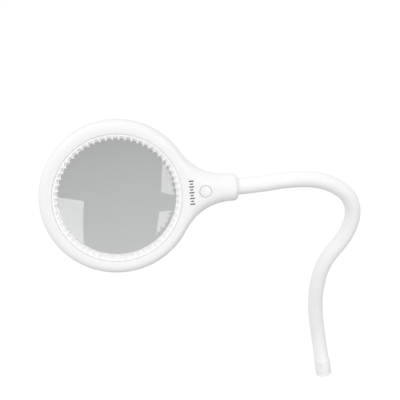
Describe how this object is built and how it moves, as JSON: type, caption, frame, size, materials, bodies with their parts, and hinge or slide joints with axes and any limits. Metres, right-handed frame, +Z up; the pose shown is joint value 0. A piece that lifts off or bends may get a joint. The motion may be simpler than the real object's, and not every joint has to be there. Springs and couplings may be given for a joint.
{
  "type": "magnifying lamp",
  "caption": "Round lens head with an LED ring behind a fluted diffuser, on a flexible gooseneck arm that ends in a threaded ferrule.",
  "frame": {"origin": "centre of the ferrule's threaded mouth, at the end of the arm", "axes": "+Z up along the ferrule into the arm; the lens faces about -Y and the head lies towards -X of the ferrule"},
  "size_m": [0.281, 0.1041, 0.3132],
  "materials": {
    "white_housing": "moulded satin gloss",
    "white_button": "moulded satin gloss",
    "diffuser_white": "milky, fluted",
    "lens_glass": "polished, clear",
    "sleeve_white": "smooth, satin",
    "gooseneck_steel": "spring steel strip, plain",
    "cable_grey": "extruded",
    "ferrule_white": "turned, satin white lacquer",
    "screw_steel": "zinc plated",
    "plated_metal": "nickel plated",
    "black_insulator": "moulded",
    "soft_gasket": "matt",
    "retainer_grey": "moulded",
    "board_white": "white solder mask",
    "board_green": "green solder mask",
    "led_yellow": "phosphor under clear resin",
    "wire_red": "PVC insulation",
    "coil_dark": "ferrite",
    "capacitor_blue": "shrink sleeve",
    "connector_ivory": "moulded nylon",
    "stem_orange": "moulded"
  },
  "bodies": {
    "base": {"ferrule": "ferrule_white", "ferrule_screw": "screw_steel", "cable_bushing": "black_insulator", "sleeve_0": "sleeve_white", "core_0": "gooseneck_steel", "cable_0": "cable_grey"},
    "link_1": {"sleeve_1": "sleeve_white", "core_1": "gooseneck_steel", "cable_1": "cable_grey"},
    "link_2": {"sleeve_2": "sleeve_white", "core_2": "gooseneck_steel", "cable_2": "cable_grey"},
    "link_3": {"sleeve_3": "sleeve_white", "core_3": "gooseneck_steel", "cable_3": "cable_grey"},
    "link_4": {"sleeve_4": "sleeve_white", "core_4": "gooseneck_steel", "cable_4": "cable_grey"},
    "link_5": {"sleeve_5": "sleeve_white", "core_5": "gooseneck_steel", "cable_5": "cable_grey"},
    "link_6": {"sleeve_6": "sleeve_white", "core_6": "gooseneck_steel", "cable_6": "cable_grey"},
    "link_7": {"sleeve_7": "sleeve_white", "core_7": "gooseneck_steel", "cable_7": "cable_grey"},
    "head": {"sleeve_8": "sleeve_white", "core_8": "gooseneck_steel", "cable_8": "cable_grey", "front_housing": "white_housing", "rear_housing": "white_housing", "diffuser_ring": "diffuser_white", "lens": "lens_glass", "lens_gasket": "soft_gasket", "lens_retainer": "retainer_grey", "led_board": "board_white", "leds": "led_yellow", "led_resistors": "black_insulator", "led_leads": "wire_red", "control_board": "board_green", "driver_coil": "coil_dark", "driver_capacitor": "capacitor_blue", "lead_connector": "connector_ivory", "tact_switch": "black_insulator", "neck_ferrule": "plated_metal", "neck_screw": "screw_steel", "housing_screws": "screw_steel"},
    "button": {"power_button": "white_button", "switch_stem": "stem_orange"}
  },
  "joints": [
    {"name": "bend_1", "type": "hinge", "parent": "base", "child": "link_1", "pos_m": [-0.00034, -0.00388, 0.05421], "axis": [-0.0022, 0.9746, 0.2241], "range_deg": [-20, 20]},
    {"name": "bend_2", "type": "hinge", "parent": "link_1", "child": "link_2", "pos_m": [0.00069, -0.01325, 0.08736], "axis": [0.9969, 0.0246, -0.0753], "range_deg": [-20, 20]},
    {"name": "bend_3", "type": "hinge", "parent": "link_2", "child": "link_3", "pos_m": [0.00728, -0.02403, 0.11939], "axis": [-0.0007, -0.9478, -0.319], "range_deg": [-20, 20]},
    {"name": "bend_4", "type": "hinge", "parent": "link_3", "child": "link_4", "pos_m": [0.02512, -0.03265, 0.14721], "axis": [-0.7018, -0.2171, 0.6785], "range_deg": [-20, 20]},
    {"name": "bend_5", "type": "hinge", "parent": "link_4", "child": "link_5", "pos_m": [0.04238, -0.04038, 0.17559], "axis": [-0.0304, 0.9625, 0.2696], "range_deg": [-20, 20]},
    {"name": "bend_6", "type": "hinge", "parent": "link_5", "child": "link_6", "pos_m": [0.0349, -0.04929, 0.20657], "axis": [0.7476, -0.1571, 0.6453], "range_deg": [-20, 20]},
    {"name": "bend_7", "type": "hinge", "parent": "link_6", "child": "link_7", "pos_m": [0.00698, -0.05786, 0.22424], "axis": [0.157, -0.9236, -0.3497], "range_deg": [-20, 20]},
    {"name": "bend_8", "type": "hinge", "parent": "link_7", "child": "head", "pos_m": [-0.02565, -0.06685, 0.23065], "axis": [-0.1668, 0.3294, -0.9293], "range_deg": [-20, 20]},
    {"name": "button_press", "type": "slide", "parent": "head", "child": "button", "axis": [-0.0735, 0.996, -0.0509], "range_m": [0, 0.0008], "stiffness_N_per_m": 2500, "springref_m": -0.0004}
  ]
}
